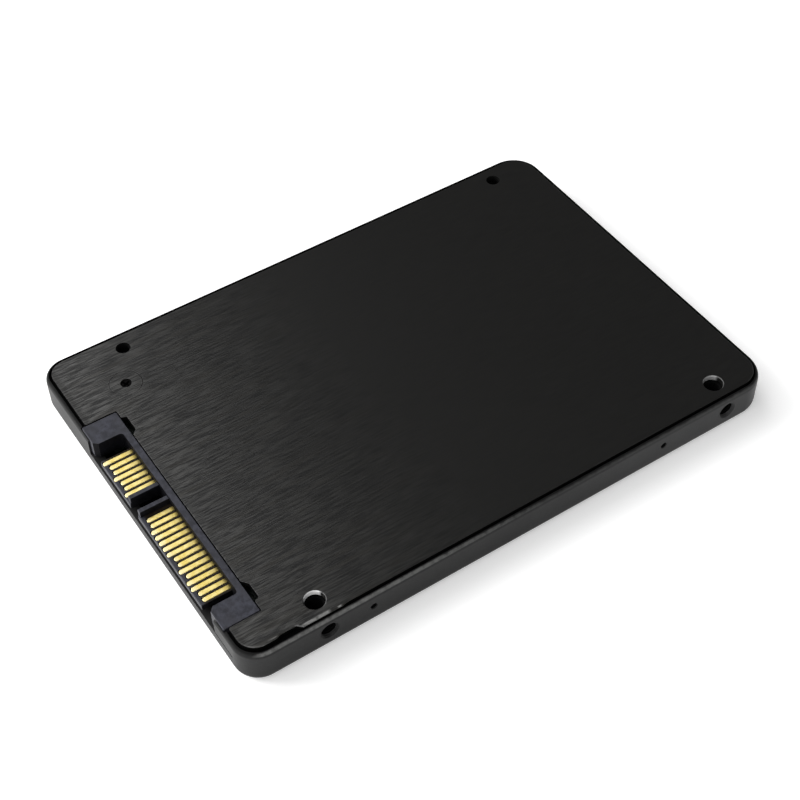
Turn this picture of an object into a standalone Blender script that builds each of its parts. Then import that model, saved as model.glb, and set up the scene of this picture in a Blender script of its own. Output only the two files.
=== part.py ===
"""A 2.5-inch solid state drive, 7 mm tall, as an assembly of separate pieces.

Frame: metres, +Z up. The origin is the centre of the drive's footprint at its label face, and
the mounting plate faces +Z. +Y is the length, with the connector at the -Y end, and X is the
width, with the seven-contact signal side of the connector at -X.
Every size below is in millimetres, and MM turns it into metres.
"""

import math

import bmesh
import bpy
from mathutils import Matrix, Vector

MM = 0.001

# Outside of the drive.
LENGTH = 100.0
WIDTH = 69.85
HEIGHT = 7.0
FRONT_CORNER_RADIUS = 4.2
BACK_CORNER_RADIUS = 5.4
RIM_ROUND = 1.2
LABEL_EDGE_ROUND = 1.55
HALF_X = WIDTH / 2
HALF_Y = LENGTH / 2

# Screw holes of the drive: four under it and two on each side.
BOTTOM_HOLE_X = 30.86
HOLE_FROM_FRONT = 14.0
HOLE_PITCH_Y = 76.6
SIDE_HOLE_BELOW_PLATE = 3.0
THREAD_BORE = 1.25
HOLE_Y = (HOLE_FROM_FRONT - HALF_Y, HOLE_FROM_FRONT + HOLE_PITCH_Y - HALF_Y)
SIDE_HOLE_Z = HEIGHT - SIDE_HOLE_BELOW_PLATE
SIDE_HOLE_DEPTH = 2.4
SIDE_HOLE_MOUTH = 1.6
BORE_FLOOR_Z = 2.2

# Shell: floor, walls and the recess that the plate drops into.
FLOOR = 1.1
WALL_X = 2.0
WALL_Y = 1.7
RIM_WALL = 0.6
LEDGE_Z = 5.8
RECESS_X = HALF_X - RIM_WALL
RECESS_Y = HALF_Y - RIM_WALL + 0.05
CAVITY_X = HALF_X - WALL_X
CAVITY_Y = HALF_Y - WALL_Y
BOSS_INNER_X = 27.2
BOSS_REACH_Y = 4.1
BOARD_POST_RADIUS = 2.2
SCREW_POST_RADIUS = 2.4
LABEL_POCKET_X = 30.5
LABEL_POCKET_Y = 45.0
LABEL_POCKET_DEPTH = 0.45
LABEL_INSET = 0.3
LABEL_THICKNESS = 0.15

# Mounting plate, with its edges' places and the quirks of its cut outline.
PLATE_THICKNESS = 0.9
PLATE_BOTTOM = HEIGHT - PLATE_THICKNESS
PLATE_HALF_X = 33.8
PLATE_STEP_X = 33.5
PLATE_STEP_Y = -39.9
PLATE_BURR_X = 34.0
PLATE_BURR_END = -32.4
PLATE_NICK_X = 33.2
PLATE_NICK_Y = (-43.3, -40.2)
PLATE_FRONT = -48.9
PLATE_BACK = 49.0
PLATE_FRONT_CORNER = 3.0
PLATE_BACK_CORNER = 4.0
PLATE_NOTCH_BACK = -42.5
PLATE_NOTCH_MOUTHS = ((-17.0, -12.7), (21.9, 26.1))
PLATE_NOTCH_BACKS = ((-16.75, -13.5), (22.9, 25.85))
PLATE_HOLE_RADIUS = 1.6
PLATE_HOLE_MOUTH = 2.0
FIT_GAP = 0.15
SCREW_POINT = (-23.4, -39.25)
SCREW_HEAD_RADIUS = 2.75

# Snaps and hooks that hold the plate in the shell.
SNAP_Y = (-28.3, 27.2)
SNAP_Z = 4.0
SNAP_THICKNESS = 0.6
SNAP_REACH_Y = 2.5
SNAP_HOLE_RADIUS = 0.55
HOOK_X = (-17.0, 17.0)
HOOK_WIDTH = 6.0
HOOK_THICKNESS = 0.6
HOOK_BOTTOM = 4.6
HOOK_LIP_HEIGHT = 0.5
HOOK_LIP_REACH = 1.0

# Circuit board.
BOARD_BOTTOM = 2.6
BOARD_TOP = 3.5
BOARD_HALF_X = 31.3
BOARD_FRONT = -46.3
BOARD_BACK = 46.8
BOARD_GAP = 0.3
BOARD_SCREWS = ((-28.0, 33.0), (28.0, 33.0), (28.0, -27.5))

# Chips and the pads on them.
CHIP_HEIGHT = 1.0
FLASH_SIZE = (14.0, 18.0)
FLASH_X = (-13.0, 13.0)
FLASH_Y = (1.0, 24.0)
CONTROLLER_CENTRE = (2.0, -26.0)

# Connector: seven signal and fifteen power contacts on one pitch.
CONNECTOR_X = 4.64
PITCH = 1.27
SIGNAL_COUNT = 7
POWER_COUNT = 15
SEGMENT_STEP = 6.35
FIRST_CONTACT_X = CONNECTOR_X - 15.875
CONTACT_HALF_WIDTH = 0.42
CONTACT_TOP = 5.2
CONTACT_THICKNESS = 0.25
LONG_TIP_Y = -49.75
SHORT_TIP_Y = -49.2
LONG_SIGNAL = (1, 4, 7)
LONG_POWER = (3, 4, 5, 6, 7, 10, 12, 13)
HOUSING_X = (-18.65, 27.93)
HOUSING_FRONT = -49.65
HOUSING_BACK = -43.5
HOUSING_BOTTOM = 3.7
HOUSING_TOP = 6.93
POCKET_X = (-14.1, 23.4)
BAR_FRONT = -44.65
TONGUE_FRONT = -49.85
TONGUE_ROOT = BAR_FRONT + 0.5
TONGUE_BOTTOM = 3.97
TONGUE_TOP = 5.15
SIGNAL_TONGUE_X = (-12.055, -1.645)
POWER_TONGUE_X = (0.765, 21.335)
KEY_TOP = 6.35
KEY_WIDTH = 0.85
MOUTH_BOTTOM = 3.3
MOUTH_X = (-16.0, 25.3)
RELIEF_SLIT_END = 30.5
PEG_Y = -44.9
PEG_HALF_X = 0.6
PEG_HALF_Y = 0.25
PEG_TOP = 4.6

# How far a cutter runs past the face it opens, and how far a joined shape sinks into its neighbour.
EPS = 1.0
SINK = 0.2


def clear_scene():
    for scene_object in list(bpy.data.objects):
        bpy.data.objects.remove(scene_object)
    for collection in list(bpy.data.collections):
        bpy.data.collections.remove(collection)


def new_collection(name):
    collection = bpy.data.collections.new(name)
    bpy.context.scene.collection.children.link(collection)
    return collection


clear_scene()
DRIVE = new_collection("solid_state_drive")
TOOLS = new_collection("tools")
TOOLS.hide_render = True


# ---------------------------------------------------------------- making shapes

def object_from(bm, name, location):
    """An object in the tools collection, with its mesh already at true size in metres."""
    bmesh.ops.recalc_face_normals(bm, faces=bm.faces)
    mesh = bpy.data.meshes.new(name)
    bm.to_mesh(mesh)
    bm.free()
    made = bpy.data.objects.new(name, mesh)
    made.location = Vector(location) * MM
    made.hide_render = True
    made.display_type = "WIRE"
    TOOLS.objects.link(made)
    return made


def bevel(bm, edges, radius, segments):
    bmesh.ops.bevel(
        bm, geom=edges, offset=radius * MM, offset_type="OFFSET",
        segments=segments, profile=0.5, affect="EDGES", clamp_overlap=True,
    )


def is_vertical(edge):
    first, second = (vert.co for vert in edge.verts)
    return abs(first.z - second.z) > 1e-6 and (first.xy - second.xy).length < 1e-6


def slab(
    name, low, high, corner=0.0, corner_steps=4, back_corner=None, top=0.0, bottom=0.0, round_steps=1,
):
    """A box from low to high with rounded upright corners and rounded or chamfered flat edges."""
    low, high = Vector(low), Vector(high)
    size = (high - low) * MM
    bm = bmesh.new()
    bmesh.ops.create_cube(bm, size=1.0, matrix=Matrix.Diagonal((*size, 1.0)))
    if corner:
        for end, radius in ((-size.y / 2, corner), (size.y / 2, back_corner or corner)):
            upright = [e for e in bm.edges if is_vertical(e) and abs(e.verts[0].co.y - end) < 1e-7]
            bevel(bm, upright, radius, corner_steps)
    for sign, radius in ((1, top), (-1, bottom)):
        if radius:
            level = sign * size.z / 2
            flat = [e for e in bm.edges if all(abs(v.co.z - level) < 1e-7 for v in e.verts)]
            bevel(bm, flat, radius, round_steps)
    return object_from(bm, name, (low + high) / 2)


def prism(name, outline, low_z, high_z):
    """An upright solid over a closed outline of (x, y) corners, listed anticlockwise."""
    bm = bmesh.new()
    corners = [bm.verts.new(Vector((x, y, low_z)) * MM) for x, y in outline]
    base = bm.faces.new(corners)
    raised = bmesh.ops.extrude_face_region(bm, geom=[base])["geom"]
    moved = [item for item in raised if isinstance(item, bmesh.types.BMVert)]
    bmesh.ops.translate(bm, verts=moved, vec=Vector((0, 0, high_z - low_z)) * MM)
    return object_from(bm, name, (0, 0, 0))


def drum(name, base, radius, height, direction="Z", top_radius=None, sides=24):
    """A cylinder or cone standing on base and reaching height along +X or +Z."""
    turn = {"X": Matrix.Rotation(math.pi / 2, 4, "Y"), "Z": Matrix.Identity(4)}[direction]
    along = {"X": Vector((1, 0, 0)), "Z": Vector((0, 0, 1))}[direction]
    bm = bmesh.new()
    bmesh.ops.create_cone(
        bm, cap_ends=True, segments=sides, radius1=radius * MM,
        radius2=(radius if top_radius is None else top_radius) * MM,
        depth=height * MM, matrix=turn,
    )
    return object_from(bm, name, Vector(base) + along * height / 2)


def boolean(target, operation, *others):
    for other in others:
        modifier = target.modifiers.new(f"{operation.lower()}_{other.name}", "BOOLEAN")
        modifier.operation = operation
        modifier.solver = "EXACT"
        modifier.object = other
    return target


def cut(target, *cutters):
    return boolean(target, "DIFFERENCE", *cutters)


def join(target, *added):
    return boolean(target, "UNION", *added)


def solve_as_manifold(target):
    """For a shape with so many near-coplanar cuts that the exact solver leaves doubled edges."""
    for modifier in target.modifiers:
        modifier.solver = "MANIFOLD"


def baked(shape):
    """The evaluated mesh of shape, with every modifier applied."""
    graph = bpy.context.evaluated_depsgraph_get()
    mesh = bpy.data.meshes.new_from_object(shape.evaluated_get(graph))
    mesh.name = shape.name
    return mesh


# ---------------------------------------------------------------- materials

def material(name, colour, roughness, metallic=0.0):
    made = bpy.data.materials.new(name)
    made.use_nodes = True
    shader = made.node_tree.nodes["Principled BSDF"]
    shader.inputs["Base Color"].default_value = (*colour, 1.0)
    shader.inputs["Roughness"].default_value = roughness
    shader.inputs["Metallic"].default_value = metallic
    return made


COATED_SHELL = material("coated_shell", (0.045, 0.045, 0.047), 0.45, 0.3)
BRUSHED_PLATE = material("brushed_plate", (0.028, 0.028, 0.027), 0.38, 0.7)
BLACK_STEEL = material("black_steel", (0.03, 0.03, 0.03), 0.4, 0.8)
CONNECTOR_PLASTIC = material("connector_plastic", (0.035, 0.037, 0.045), 0.5)
GOLD_PLATING = material("gold_plating", (0.85, 0.62, 0.2), 0.25, 1.0)
TIN_PLATING = material("tin_plating", (0.6, 0.6, 0.58), 0.35, 1.0)
BOARD_BLACK = material("board_black", (0.012, 0.016, 0.014), 0.4)
CHIP_EPOXY = material("chip_epoxy", (0.02, 0.02, 0.022), 0.55)
PAD_GREY = material("pad_grey", (0.35, 0.4, 0.45), 0.9)
LABEL_FILM = material("label_film", (0.32, 0.33, 0.34), 0.4)
FERRITE = material("ferrite", (0.08, 0.08, 0.085), 0.6)
TANTALUM = material("tantalum", (0.62, 0.36, 0.08), 0.5)
CERAMIC = material("ceramic", (0.42, 0.31, 0.2), 0.5)
LAMP_PLASTIC = material("lamp_plastic", (0.75, 0.8, 0.7), 0.3)


def publish(shape, name, finish):
    """Moves a finished shape from the tools into the drive, as the node called name."""
    shape.name = name
    shape.data.name = name
    shape.data.materials.clear()
    shape.data.materials.append(finish)
    shape.data.shade_smooth()
    shape.data.set_sharp_from_angle(angle=math.radians(30))
    TOOLS.objects.unlink(shape)
    DRIVE.objects.link(shape)
    shape.hide_render = False
    shape.display_type = "TEXTURED"
    return shape


# ---------------------------------------------------------------- shell

def corner_bosses():
    """Blocks in the shell's corners that take both the bottom and the side screws."""
    for side in (-1, 1):
        for y in HOLE_Y:
            inner, outer = side * BOSS_INNER_X, side * (CAVITY_X + EPS)
            yield slab(
                "corner_boss",
                (min(inner, outer), y - BOSS_REACH_Y, FLOOR - SINK),
                (max(inner, outer), y + BOSS_REACH_Y, LEDGE_Z),
                corner=0.8, corner_steps=2,
            )


def board_posts():
    height = BOARD_BOTTOM - BOARD_GAP - FLOOR + SINK
    for x, y in BOARD_SCREWS:
        yield drum("board_post", (x, y, FLOOR - SINK), BOARD_POST_RADIUS, height)


def shell_bores():
    """Every round hole in the shell."""
    for side in (-1, 1):
        wall = HALF_X if side > 0 else -HALF_X
        for y in HOLE_Y:
            yield drum("bottom_thread", (side * BOTTOM_HOLE_X, y, BORE_FLOOR_Z), THREAD_BORE, HEIGHT)
            start = wall - SIDE_HOLE_DEPTH if side > 0 else wall - EPS
            yield drum("side_thread", (start, y, SIDE_HOLE_Z), THREAD_BORE, SIDE_HOLE_DEPTH + EPS, "X")
            mouth = wall - 0.3 if side > 0 else wall - 0.01
            radii = (THREAD_BORE, SIDE_HOLE_MOUTH) if side > 0 else (SIDE_HOLE_MOUTH, THREAD_BORE)
            yield drum("side_mouth", (mouth, y, SIDE_HOLE_Z), radii[0], 0.31, "X", radii[1])
        for y in SNAP_Y:
            start = CAVITY_X - EPS if side > 0 else -HALF_X - EPS
            yield drum("snap_hole", (start, y, SNAP_Z), SNAP_HOLE_RADIUS, WALL_X + 2 * EPS, "X", sides=16)
    for x, y in BOARD_SCREWS:
        yield drum("board_screw_hole", (x, y, 0.8), 1.1, BOARD_BOTTOM, sides=16)
    yield drum("plate_screw_hole", (*SCREW_POINT, BORE_FLOOR_Z), THREAD_BORE, HEIGHT, sides=16)


def connector_mouth():
    """The opening in the front wall, with a pocket behind the wall for the connector's ears."""
    yield slab(
        "mouth",
        (MOUTH_X[0], -HALF_Y - EPS, MOUTH_BOTTOM), (MOUTH_X[1], -CAVITY_Y + EPS, HEIGHT + EPS),
    )
    yield slab(
        "ear_pocket",
        (HOUSING_X[0] - 0.3, HOUSING_FRONT - 0.1, MOUTH_BOTTOM),
        (HOUSING_X[1] + 0.3, -CAVITY_Y + EPS, HEIGHT + EPS),
    )
    yield slab(
        "relief_slit",
        (MOUTH_X[1] - 0.5, -HALF_Y - EPS, MOUTH_BOTTOM - 0.1),
        (RELIEF_SLIT_END, -HALF_Y + 0.9, MOUTH_BOTTOM + 0.2),
    )


def hook_slots():
    for x in HOOK_X:
        yield slab(
            "hook_slot",
            (x - HOOK_WIDTH / 2 - 0.5, CAVITY_Y - 0.5, HOOK_BOTTOM - 0.3),
            (x + HOOK_WIDTH / 2 + 0.5, CAVITY_Y + 0.9, HOOK_BOTTOM + HOOK_LIP_HEIGHT + 0.3),
        )


def case_shell():
    shell = slab(
        "shell", (-HALF_X, -HALF_Y, 0), (HALF_X, HALF_Y, HEIGHT),
        corner=FRONT_CORNER_RADIUS, corner_steps=8, back_corner=BACK_CORNER_RADIUS,
        top=RIM_ROUND, bottom=LABEL_EDGE_ROUND, round_steps=4,
    )
    cut(
        shell,
        slab(
            "plate_recess",
            (-RECESS_X, -RECESS_Y, LEDGE_Z), (RECESS_X, RECESS_Y, HEIGHT + EPS),
            corner=FRONT_CORNER_RADIUS - RIM_WALL, corner_steps=8,
            back_corner=BACK_CORNER_RADIUS - RIM_WALL,
        ),
        slab(
            "cavity", (-CAVITY_X, -CAVITY_Y, FLOOR), (CAVITY_X, CAVITY_Y, HEIGHT + EPS),
            corner=2.0, corner_steps=4,
        ),
    )
    join(shell, *corner_bosses(), *board_posts())
    join(
        shell,
        drum(
            "plate_screw_post", (*SCREW_POINT, FLOOR - SINK), SCREW_POST_RADIUS,
            LEDGE_Z - FLOOR + SINK,
        ),
    )
    cut(shell, *shell_bores(), *connector_mouth(), *hook_slots())
    cut(
        shell,
        slab(
            "label_pocket",
            (-LABEL_POCKET_X, -LABEL_POCKET_Y, -EPS),
            (LABEL_POCKET_X, LABEL_POCKET_Y, LABEL_POCKET_DEPTH),
            corner=2.0, corner_steps=4,
        ),
    )
    solve_as_manifold(shell)
    return publish(shell, "case_shell", COATED_SHELL)


def label_sticker():
    half_x, half_y = LABEL_POCKET_X - LABEL_INSET, LABEL_POCKET_Y - LABEL_INSET
    label = slab("label", (-half_x, -half_y, 0.0), (half_x, half_y, LABEL_THICKNESS), corner=1.7)
    return publish(label, "label_sticker", LABEL_FILM)


# ---------------------------------------------------------------- mounting plate

def snap_tabs():
    """Legs folded down from the plate's sides, each with a bump that clicks into the shell's wall."""
    for side in (-1, 1):
        outer = CAVITY_X - 0.3
        inner = outer - SNAP_THICKNESS
        for y in SNAP_Y:
            x_low, x_high = (inner, outer) if side > 0 else (-outer, -inner)
            yield slab(
                "snap_leg",
                (x_low, y - SNAP_REACH_Y, SNAP_Z - 1.0),
                (x_high, y + SNAP_REACH_Y, PLATE_BOTTOM + SINK),
            )
            start = outer - SINK if side > 0 else -outer - 0.7
            yield drum("snap_bump", (start, y, SNAP_Z), SNAP_HOLE_RADIUS - 0.2, 0.7 + SINK, "X", sides=12)


def back_hooks():
    """Legs folded down at the plate's back edge, each with a lip that catches in a slot of the shell."""
    leg_back = CAVITY_Y - 0.4
    leg_front = leg_back - HOOK_THICKNESS
    for x in HOOK_X:
        low_x, high_x = x - HOOK_WIDTH / 2, x + HOOK_WIDTH / 2
        yield slab(
            "hook_leg", (low_x, leg_front, HOOK_BOTTOM), (high_x, leg_back, PLATE_BOTTOM + SINK),
        )
        yield slab(
            "hook_lip",
            (low_x, leg_front + 0.1, HOOK_BOTTOM),
            (high_x, leg_back + HOOK_LIP_REACH, HOOK_BOTTOM + HOOK_LIP_HEIGHT),
        )


def plate_openings():
    """The connector's cut-out with its two tapered corner notches, and the nick before the burr."""
    yield slab(
        "connector_cutout",
        (HOUSING_X[0] - FIT_GAP, PLATE_FRONT - EPS, PLATE_BOTTOM - EPS),
        (HOUSING_X[1] + FIT_GAP, HOUSING_BACK + FIT_GAP, HEIGHT + EPS),
    )
    mouth_y = HOUSING_BACK + FIT_GAP
    for (mouth_low, mouth_high), (back_low, back_high) in zip(PLATE_NOTCH_MOUTHS, PLATE_NOTCH_BACKS):
        outline = (
            (mouth_low, mouth_y - EPS), (mouth_high, mouth_y - EPS), (mouth_high, mouth_y),
            (back_high, PLATE_NOTCH_BACK), (back_low, PLATE_NOTCH_BACK), (mouth_low, mouth_y),
        )
        yield prism("corner_notch", outline, PLATE_BOTTOM - EPS, HEIGHT + EPS)
    yield slab(
        "edge_nick",
        (PLATE_NICK_X, PLATE_NICK_Y[0], PLATE_BOTTOM - EPS),
        (HALF_X, PLATE_NICK_Y[1], HEIGHT + EPS),
    )


def plate_bores():
    for side in (-1, 1):
        for y in HOLE_Y:
            x = side * BOTTOM_HOLE_X
            yield drum("plate_hole", (x, y, PLATE_BOTTOM - EPS), PLATE_HOLE_RADIUS, 3.0, sides=32)
            yield drum(
                "plate_chamfer", (x, y, HEIGHT - 0.35), PLATE_HOLE_RADIUS - 0.05, 0.4,
                top_radius=PLATE_HOLE_MOUTH, sides=32,
            )
    yield drum(
        "countersink", (*SCREW_POINT, PLATE_BOTTOM - 0.05), 1.65, 0.75,
        top_radius=SCREW_HEAD_RADIUS + 0.1, sides=40,
    )
    yield drum("head_seat", (*SCREW_POINT, HEIGHT - 0.21), SCREW_HEAD_RADIUS + 0.1, 0.5, sides=40)


def mounting_plate():
    """The plate is a little narrower at its front right edge than behind it, with a burr behind the step."""
    plate = slab(
        "plate",
        (-PLATE_HALF_X, PLATE_FRONT, PLATE_BOTTOM), (PLATE_STEP_X, PLATE_BACK - 10.0, HEIGHT),
        corner=PLATE_FRONT_CORNER, corner_steps=6, top=0.1,
    )
    wide_part = slab(
        "wide_part",
        (-PLATE_HALF_X, PLATE_STEP_Y - PLATE_FRONT_CORNER, PLATE_BOTTOM),
        (PLATE_HALF_X, PLATE_BACK, HEIGHT),
        corner=PLATE_FRONT_CORNER, corner_steps=6, back_corner=PLATE_BACK_CORNER, top=0.1,
    )
    burr = slab(
        "edge_burr",
        (PLATE_HALF_X - 1.0, PLATE_STEP_Y, PLATE_BOTTOM),
        (PLATE_BURR_X, PLATE_BURR_END, HEIGHT - 0.05),
    )
    join(plate, wide_part, burr, *snap_tabs(), *back_hooks())
    cut(plate, *plate_openings(), *plate_bores())
    solve_as_manifold(plate)
    return publish(plate, "mounting_plate", BRUSHED_PLATE)


def plate_screw():
    """A flush flat-head screw with a cross recess, into the shell's post."""
    x, y = SCREW_POINT
    screw = drum("head", (x, y, HEIGHT - 0.2), SCREW_HEAD_RADIUS, 0.19, sides=40)
    cone = drum(
        "head_cone", (x, y, PLATE_BOTTOM - 0.15), 1.1, 0.9, top_radius=SCREW_HEAD_RADIUS, sides=40,
    )
    shank = drum("shank", (x, y, 2.8), 0.95, 3.6, sides=20)
    join(screw, cone, shank)
    well = drum("well", (x, y, HEIGHT - 0.25), 0.95, 0.4, sides=24)
    slot_x = slab("slot_x", (x - 0.8, y - 0.18, HEIGHT - 0.75), (x + 0.8, y + 0.18, HEIGHT))
    slot_y = slab("slot_y", (x - 0.18, y - 0.8, HEIGHT - 0.75), (x + 0.18, y + 0.8, HEIGHT))
    cut(screw, well, slot_x, slot_y)
    return publish(screw, "plate_screw", BLACK_STEEL)


# ---------------------------------------------------------------- connector

def contact_places():
    """(node name, x, tip y) of each contact, from the signal end to the power end."""
    for number in range(1, SIGNAL_COUNT + 1):
        x = FIRST_CONTACT_X + (number - 1) * PITCH
        yield f"signal_contact_{number}", x, LONG_TIP_Y if number in LONG_SIGNAL else SHORT_TIP_Y
    start = FIRST_CONTACT_X + (SIGNAL_COUNT - 1) * PITCH + SEGMENT_STEP
    for number in range(1, POWER_COUNT + 1):
        x = start + (number - 1) * PITCH
        yield f"power_contact_{number}", x, LONG_TIP_Y if number in LONG_POWER else SHORT_TIP_Y


def contact_mesh(tip_y):
    """A gold blade on the tongue, stepping down behind the housing to a foot on the board."""
    half, bottom = CONTACT_HALF_WIDTH, CONTACT_TOP - CONTACT_THICKNESS
    back, foot_back = HOUSING_BACK + 0.55, HOUSING_BACK + 1.9
    blade = slab(
        "blade", (-half, tip_y, bottom), (half, back, CONTACT_TOP),
        corner=0.3, corner_steps=3, top=0.06,
    )
    drop = slab("drop", (-half, back - 0.25, BOARD_TOP + 0.1), (half, back + 0.02, CONTACT_TOP - 0.1))
    foot = slab("foot", (-half, back - 0.2, BOARD_TOP + 0.1), (half, foot_back, BOARD_TOP + 0.3))
    return baked(join(blade, drop, foot)), blade.location.copy()


def contacts():
    made = {tip: contact_mesh(tip) for tip in (LONG_TIP_Y, SHORT_TIP_Y)}
    for name, x, tip_y in contact_places():
        mesh, centre = made[tip_y]
        contact = bpy.data.objects.new(name, mesh)
        contact.location = centre + Vector((x * MM, 0, 0))
        TOOLS.objects.link(contact)
        publish(contact, name, GOLD_PLATING)


def contact_grooves():
    """Grooves in the tongues for the blades, and slots through the bar behind them."""
    reach = CONTACT_HALF_WIDTH + 0.08
    floor = CONTACT_TOP - CONTACT_THICKNESS - 0.06
    for _, x, tip_y in contact_places():
        low_x, high_x = x - reach, x + reach
        yield slab(
            "groove", (low_x, tip_y - 0.12, floor), (high_x, BAR_FRONT + SINK, TONGUE_TOP + 0.5),
        )
        yield slab(
            "bar_slot",
            (low_x, BAR_FRONT - 0.1, floor), (high_x, HOUSING_BACK + EPS, CONTACT_TOP + 0.1),
        )


def connector_housing():
    housing = slab(
        "housing",
        (HOUSING_X[0], HOUSING_FRONT, HOUSING_BOTTOM), (HOUSING_X[1], HOUSING_BACK, HOUSING_TOP),
        corner=0.25, corner_steps=2, top=0.12,
    )
    cut(
        housing,
        slab(
            "pocket",
            (POCKET_X[0], HOUSING_FRONT - 2.0, HOUSING_BOTTOM - EPS),
            (POCKET_X[1], BAR_FRONT, HOUSING_TOP + EPS),
            corner=0.6, corner_steps=3,
        ),
    )
    lead_in = 0.7
    cut(
        housing,
        slab(
            "lead_in",
            (POCKET_X[0] - lead_in, HOUSING_FRONT - 2.0, HOUSING_BOTTOM - EPS),
            (POCKET_X[1] + lead_in, HOUSING_FRONT + lead_in, HOUSING_TOP + EPS),
            corner=lead_in, corner_steps=1,
        ),
    )
    for low_x, high_x in (SIGNAL_TONGUE_X, POWER_TONGUE_X):
        tongue = slab(
            "tongue",
            (low_x, TONGUE_FRONT, TONGUE_BOTTOM), (high_x, TONGUE_ROOT, TONGUE_TOP),
            corner=0.2, corner_steps=1, top=0.15, bottom=0.15,
        )
        join(housing, tongue)
    for low_x, high_x in (
        (SIGNAL_TONGUE_X[1] - KEY_WIDTH, SIGNAL_TONGUE_X[1]),
        (POWER_TONGUE_X[0], POWER_TONGUE_X[0] + KEY_WIDTH),
    ):
        key = slab(
            "key",
            (low_x, TONGUE_FRONT + 0.15, TONGUE_TOP - 0.5), (high_x, TONGUE_ROOT, KEY_TOP),
            top=0.1,
        )
        join(housing, key)
    cut(housing, *contact_grooves())
    for x in lock_places():
        cut(
            housing,
            slab(
                "lock_pocket",
                (x - PEG_HALF_X - 0.15, PEG_Y - PEG_HALF_Y - 0.15, HOUSING_BOTTOM - EPS),
                (x + PEG_HALF_X + 0.15, PEG_Y + PEG_HALF_Y + 0.15, PEG_TOP + 0.2),
            ),
        )
    return publish(housing, "connector_housing", CONNECTOR_PLASTIC)


def lock_places():
    """The middle of each ear."""
    return ((HOUSING_X[0] + POCKET_X[0]) / 2, (HOUSING_X[1] + POCKET_X[1]) / 2)


def board_locks():
    for number, x in enumerate(lock_places(), 1):
        peg = slab(
            "peg",
            (x - PEG_HALF_X, PEG_Y - PEG_HALF_Y, BOARD_BOTTOM - 0.4),
            (x + PEG_HALF_X, PEG_Y + PEG_HALF_Y, PEG_TOP),
            bottom=0.15,
        )
        publish(peg, f"board_lock_{number}", TIN_PLATING)


# ---------------------------------------------------------------- circuit board

def board_notches():
    """Room for the shell's corner bosses, its screw post, the board screws and the connector's pegs."""
    clearance = 0.3
    for side in (-1, 1):
        for y in HOLE_Y:
            inner, outer = side * (BOSS_INNER_X - clearance), side * (BOARD_HALF_X + EPS)
            yield slab(
                "boss_notch",
                (min(inner, outer), y - BOSS_REACH_Y - clearance, BOARD_BOTTOM - EPS),
                (max(inner, outer), y + BOSS_REACH_Y + clearance, BOARD_TOP + EPS),
                corner=0.5, corner_steps=2,
            )
    post_hole = SCREW_POST_RADIUS + 0.4
    yield drum("post_hole", (*SCREW_POINT, BOARD_BOTTOM - EPS), post_hole, 3.0)
    for x, y in BOARD_SCREWS:
        yield drum("screw_hole", (x, y, BOARD_BOTTOM - EPS), 1.2, 3.0, sides=16)
    for x in lock_places():
        yield drum("peg_hole", (x, PEG_Y, BOARD_BOTTOM - EPS), 0.9, 3.0, sides=16)
    yield slab(
        "tongue_clearance",
        (POCKET_X[0] - 0.4, BOARD_FRONT - EPS, BOARD_BOTTOM - EPS),
        (POCKET_X[1] + 0.4, BAR_FRONT + 0.15, BOARD_TOP + EPS),
    )


def circuit_board():
    board = slab(
        "board",
        (-BOARD_HALF_X, BOARD_FRONT, BOARD_BOTTOM), (BOARD_HALF_X, BOARD_BACK, BOARD_TOP),
        corner=1.0, corner_steps=3,
    )
    cut(board, *board_notches())
    return publish(board, "circuit_board", BOARD_BLACK)


def board_screws():
    for number, (x, y) in enumerate(BOARD_SCREWS, 1):
        screw = drum("pan_head", (x, y, BOARD_TOP + 0.3), 1.9, 0.8, top_radius=1.6, sides=24)
        join(screw, drum("shank", (x, y, FLOOR), 0.8, BOARD_TOP + 0.6 - FLOOR, sides=16))
        for reach_x, reach_y in ((1.0, 0.2), (0.2, 1.0)):
            recess = slab(
                "recess",
                (x - reach_x, y - reach_y, BOARD_TOP + 0.7), (x + reach_x, y + reach_y, HEIGHT),
            )
            cut(screw, recess)
        publish(screw, f"board_screw_{number}", TIN_PLATING)


def chip(name, centre, size, finish, below=False):
    """A package lying on the board, or hanging under it, with chamfered edges."""
    x, y = centre
    width, length, height = size
    bottom = BOARD_BOTTOM - BOARD_GAP - height if below else BOARD_TOP + BOARD_GAP
    body = slab(
        name,
        (x - width / 2, y - length / 2, bottom), (x + width / 2, y + length / 2, bottom + height),
        corner=min(width, length) * 0.04, corner_steps=1, top=0.08, bottom=0.08,
    )
    return publish(body, name, finish)


def flash_chips():
    number = 0
    for below, height in ((False, CHIP_HEIGHT), (True, 0.85)):
        for y in FLASH_Y:
            for x in FLASH_X:
                number += 1
                chip(f"flash_chip_{number}", (x, y), (*FLASH_SIZE, height), CHIP_EPOXY, below)


def control_chips():
    chip("controller_chip", CONTROLLER_CENTRE, (14.0, 14.0, CHIP_HEIGHT), CHIP_EPOXY)
    chip("memory_cache_chip", (-15.5, -25.0), (9.0, 12.0, CHIP_HEIGHT), CHIP_EPOXY)
    chip("boot_memory_chip", (-12.0, -36.8), (5.0, 6.0, 1.2), CHIP_EPOXY)
    chip("voltage_regulator", (13.5, -36.5), (4.0, 4.0, 0.9), CHIP_EPOXY)
    chip("clock_crystal", (13.5, -28.5), (3.2, 2.5, 0.8), TIN_PLATING)
    chip("activity_lamp", (0.0, 44.5), (1.6, 0.9, 0.7), LAMP_PLASTIC)


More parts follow.
